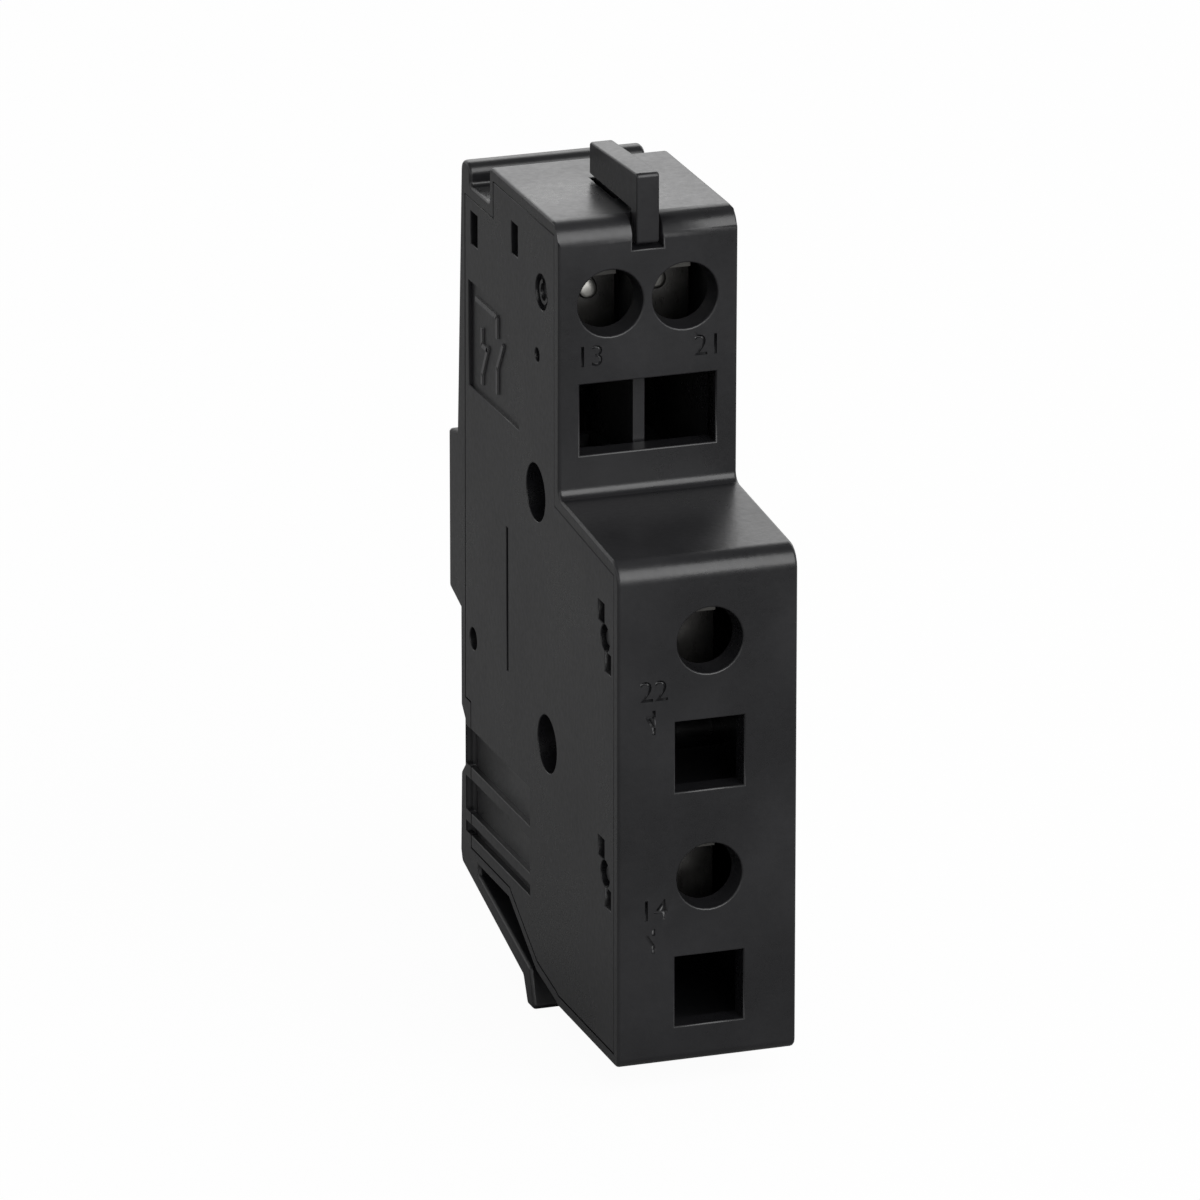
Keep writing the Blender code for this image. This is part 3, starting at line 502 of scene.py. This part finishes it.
def moulded_tray():
    """The housing with its numbers, and its edges as the mould rounds them."""
    shape = merged_copy("housing_base")
    round_edges(shape, round_a_peg, PEG_RADIUS)
    round_edges(shape, on_side, OUTLINE_RADIUS)
    round_edges(shape, round_an_opening, OPENING_RADIUS)
    numbers = bmesh.new()
    for text, x, front, z in NUMBERS:
        add_number(numbers, text, x, front, z)
    shape = carve(shape, numbers)
    for x, z, closed in SIGNS:
        shape = carve_sign(shape, x, z, closed)
    piece = finish_piece("moulded_tray", shape, "housing", POLYAMIDE)
    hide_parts("housing_base")


def widen(shape, reach):
    """Move the outer rim of the cover out towards the tray."""
    shape.normal_update()
    tree = BVHTree.FromBMesh(shape)
    facing = {}
    for face in shape.faces:
        # The rim's walls stand square to the cover's face
        if abs(face.normal.x) > 0.1:
            continue
        start = face.calc_center_median() + face.normal * 0.01 * MM
        # Nothing of the cover lies in front of its rim, unlike the walls of its holes
        if tree.ray_cast(start, face.normal)[0] is None:
            for vert in face.verts:
                facing.setdefault(vert, []).append(face.normal.copy())
    for vert, normals in facing.items():
        first = normals[0]
        other = next((normal for normal in normals if normal.dot(first) < 0.999), first)
        mitre = first + other
        vert.co += mitre * reach * MM * 2 / mitre.length_squared


def moulded_cover():
    """The left cover with rounded marks."""
    shape = merged_copy("side_cover")
    widen(shape, CAD_GAP - SEAM)
    round_edges(shape, on_cover_face, OPENING_RADIUS / 2)
    piece = finish_piece("moulded_cover", shape, "housing", POLYAMIDE)
    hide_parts("side_cover")


def cover_diagram():
    """The contact diagram on the floor of the label field."""
    shape = bmesh.new()
    for start, end in DIAGRAM:
        add_bar(
            shape, (FIELD_FLOOR, *start), (FIELD_FLOOR, *end), DIAGRAM_LINE,
            (DIAGRAM_HIGH, 0.0, 0.0),
        )
    # The raised lines are painted paler than the housing, a painted sheen
    finish_piece("cover_diagram", shape, "housing", POLYAMIDE_PAINTED_SHEEN)


def insert_arc():
    """The arc that a mould insert leaves in the round recess."""
    shape = bmesh.new()
    y, z = INSERT
    middle = spot(INSERT_FLOOR, y, z)
    corners = [
        shape.verts.new(spot(INSERT_FLOOR + out, y + radius, z)) for out, radius in ARC_CORNERS
    ]
    profile = shape.faces.new(corners)
    bmesh.ops.spin(
        shape, geom=[profile, *profile.edges, *profile.verts], cent=middle, axis=(1, 0, 0),
        angle=math.radians(ARC_RUN), steps=ARC_STEPS, use_merge=False, use_duplicate=False,
    )
    turn = Matrix.Rotation(math.radians(ARC_START), 4, "X")
    centre = Matrix.Translation(middle)
    bmesh.ops.transform(shape, verts=shape.verts, matrix=centre @ turn @ centre.inverted())
    shape.normal_update()
    bmesh.ops.holes_fill(shape, edges=shape.edges, sides=4)
    bmesh.ops.recalc_face_normals(shape, faces=shape.faces)
    finish_piece("insert_arc", shape, "housing", POLYAMIDE)


def moulded_latch():
    """The latch tab with its thumb edges rounded."""
    shape = merged_copy("latch_tab")
    round_edges(shape, on_tab, TAB_RADIUS)
    piece = finish_piece("moulded_latch", shape, "latch", POLYAMIDE)
    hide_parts("latch_tab")


def wire_lug(name, middle, half, lean):
    """A crowned lug on a clamp spring that leans back, so it catches the light."""
    shape = bmesh.new()
    outline = [shape.verts.new((share, depth, 0.0)) for share, depth in LUG_SECTION]
    edges = [shape.edges.new(pair) for pair in zip(outline, outline[1:])]
    bmesh.ops.spin(
        shape, geom=[*outline, *edges], cent=(0, 0, 0), axis=(0, 1, 0), angle=math.tau,
        steps=LUG_STEPS, use_merge=True, use_duplicate=False,
    )
    bmesh.ops.remove_doubles(shape, verts=shape.verts, dist=0.0001)
    bmesh.ops.recalc_face_normals(shape, faces=shape.faces)
    # The lug narrows towards its upper end
    for vert in shape.verts:
        vert.co.x *= 1 - LUG_TAPER * vert.co.z
    size = Matrix.Diagonal((half[0] * MM, MM, half[1] * MM, 1.0))
    turn = Matrix.Rotation(-math.radians(lean), 4, "X")
    place = Matrix.Translation(spot(*middle)) @ turn @ size
    bmesh.ops.transform(shape, verts=shape.verts, matrix=place)
    finish_piece(name, shape, "housing", BRIGHT_STEEL, smooth=50.0)


def live_spring(node, body, joint, fixed, left):
    """A coil spring made a piece of its own on its body, in place of its CAD node."""
    # The steel is painted dark, as painted shade
    piece = finish_piece("live_" + node, merged_copy(node), body, SPRING_STEEL_PAINTED_SHADE)
    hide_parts(node)
    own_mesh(piece)


# What each CAD node that stays is made of
NODE_FINISH = {
    "terminal_divider": POLYAMIDE,
    "contact_carrier": CARRIER_PLASTIC,
    "rivet_upper": RIVET_STEEL,
    "rivet_lower": RIVET_STEEL,
    "bridge_no": COPPER_STRIP,
    "bridge_nc": COPPER_STRIP,
}
# The clamp springs and the bars are painted dark, as painted shade deep in the funnels
for terminal in ("13", "14", "21", "22"):
    NODE_FINISH["clamp_spring_" + terminal] = SPRING_STEEL_PAINTED_SHADE
    NODE_FINISH["current_bar_" + terminal] = TINNED_BRASS_PAINTED_SHADE
    NODE_FINISH["fixed_tip_" + terminal] = CONTACT_SILVER
    NODE_FINISH["bridge_tip_" + terminal] = CONTACT_SILVER


def dress_nodes():
    """Give every CAD node that stays its finish."""
    for name, material in NODE_FINISH.items():
        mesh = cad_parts[name].data
        mesh.materials.clear()
        mesh.materials.append(material)


# Floor: its height in the layout, its width in metres, the grey that lights the block
# from below, and how much of what the camera sees of it is plain white
FLOOR_Z = -2.15
FLOOR_WIDE = 6.0
FLOOR_GREY = "#969696"
WHITE_SHARE = 0.96

# The room's brightness low down and high up, and the sines of the heights above the
# horizon between which it fades
ROOM_LOW = 0.8
ROOM_HIGH = 0.19
ROOM_FADE = (0.25, 0.75)

# Area lamps: azimuth and elevation in degrees, distance, width and height in metres, and
# the radiance of the face. The one in front draws the light lines on the roundings, and
# the top and the shelf mirror the broad one behind.
LAMPS = (
    ("front_bank", 17, 34, 0.9, 0.9, 0.8, 3.1),
    ("back_bank", 151, 28, 1.0, 1.4, 0.58, 1.27),
)
LAMP_AIM = (0.0, 17.0, 27.0)

# Camera: its turn and tilt in degrees, its distance from its aim, and its lens in mm
CAMERA_TURN = 18.885
CAMERA_TILT = 18.963
CAMERA_DISTANCE = 782.56
CAMERA_AIM = (-7.492, 0.0, 33.04)
LENS = 360
SENSOR = 36


def make_floor():
    """A pale floor that the camera sees as white, with the block's soft shadow on it."""
    shape = bmesh.new()
    bmesh.ops.create_grid(shape, x_segments=1, y_segments=1, size=FLOOR_WIDE / 2)
    bmesh.ops.translate(shape, verts=shape.verts, vec=spot(0, 0, FLOOR_Z))
    mesh = bpy.data.meshes.new("floor")
    shape.to_mesh(mesh)
    shape.free()
    floor = new_object("floor", mesh)
    material, tree, output = new_material("pale_card")
    seen = add_node(tree, "ShaderNodeLightPath").outputs["Is Camera Ray"]
    tone = add_node(
        tree, "ShaderNodeMix", settings={"data_type": "RGBA"},
        values={6: linear(FLOOR_GREY), 7: linear("#ffffff")}, links={0: seen},
    ).outputs[2]
    paper = add_node(tree, "ShaderNodeBsdfDiffuse", links={"Color": tone}).outputs[0]
    white = add_node(
        tree, "ShaderNodeEmission", values={"Color": (1, 1, 1, 1), "Strength": 1.0},
    ).outputs[0]
    share = add_node(
        tree, "ShaderNodeMath", settings={"operation": "MULTIPLY"}, values={1: WHITE_SHARE},
        links={0: seen},
    ).outputs[0]
    mixed = add_node(tree, "ShaderNodeMixShader", links={0: share, 1: paper, 2: white})
    tree.links.new(mixed.outputs[0], output.inputs["Surface"])
    mesh.materials.append(material)


def make_world():
    """A room that is white to the camera, and otherwise pale low down and grey above."""
    world = bpy.data.worlds.new("studio")
    bpy.context.scene.world = world
    world.use_nodes = True
    tree = world.node_tree
    tree.nodes.clear()
    output = tree.nodes.new("ShaderNodeOutputWorld")
    seen = add_node(tree, "ShaderNodeLightPath").outputs["Is Camera Ray"]
    direction = add_node(tree, "ShaderNodeTexCoord").outputs["Generated"]
    height = add_node(
        tree, "ShaderNodeSeparateXYZ", links={"Vector": direction},
    ).outputs["Z"]
    fade = add_node(
        tree, "ShaderNodeMapRange", settings={"interpolation_type": "SMOOTHSTEP"},
        values={
            "From Min": ROOM_FADE[0], "From Max": ROOM_FADE[1],
            "To Min": ROOM_LOW, "To Max": ROOM_HIGH,
        }, links={"Value": height},
    ).outputs["Result"]
    room = add_node(
        tree, "ShaderNodeBackground", values={"Color": (1, 1, 1, 1)}, links={"Strength": fade},
    ).outputs[0]
    white = add_node(
        tree, "ShaderNodeBackground", values={"Color": (1, 1, 1, 1), "Strength": 1.0},
    ).outputs[0]
    mixed = add_node(tree, "ShaderNodeMixShader", links={0: seen, 1: room, 2: white})
    tree.links.new(mixed.outputs[0], output.inputs["Surface"])


def soft_lamp(name, azimuth, elevation, distance, width, height, radiance):
    """An area lamp that faces the block, given by the radiance of its face."""
    turn, rise = math.radians(azimuth), math.radians(elevation)
    direction = Vector((
        math.sin(turn) * math.cos(rise), -math.cos(turn) * math.cos(rise), math.sin(rise),
    ))
    lamp = bpy.data.lights.new(name, "AREA")
    lamp.shape = "RECTANGLE"
    lamp.size, lamp.size_y = width, height
    # The face of an area lamp has a radiance of its power over pi times its area
    lamp.energy = radiance * math.pi * width * height
    item = new_object(name, lamp)
    item.location = spot(*LAMP_AIM) + direction * distance
    item.rotation_euler = (-direction).to_track_quat("-Z", "Y").to_euler()
    item.visible_camera = False


def make_camera():
    """A long lens at the photograph's angle."""
    turn, tilt = math.radians(CAMERA_TURN), math.radians(CAMERA_TILT)
    back = Vector((
        -math.sin(turn) * math.cos(tilt), -math.cos(turn) * math.cos(tilt), math.sin(tilt),
    ))
    lens = bpy.data.cameras.new("camera")
    lens.lens = LENS
    lens.sensor_width = SENSOR
    lens.clip_end = 20
    camera = new_object("camera", lens)
    camera.location = spot(*CAMERA_AIM) + back * CAMERA_DISTANCE * MM
    camera.rotation_euler = (math.pi / 2 - tilt, 0.0, -turn)
    bpy.context.scene.camera = camera


dress_nodes()
moulded_tray()
moulded_cover()
cover_diagram()
insert_arc()
moulded_latch()
for lug in LUGS:
    wire_lug(*lug)
for spring in SPRINGS:
    live_spring(*spring)
make_floor()
make_world()
for bank in LAMPS:
    soft_lamp(*bank)
make_camera()
bpy.context.scene.view_settings.view_transform = "Standard"
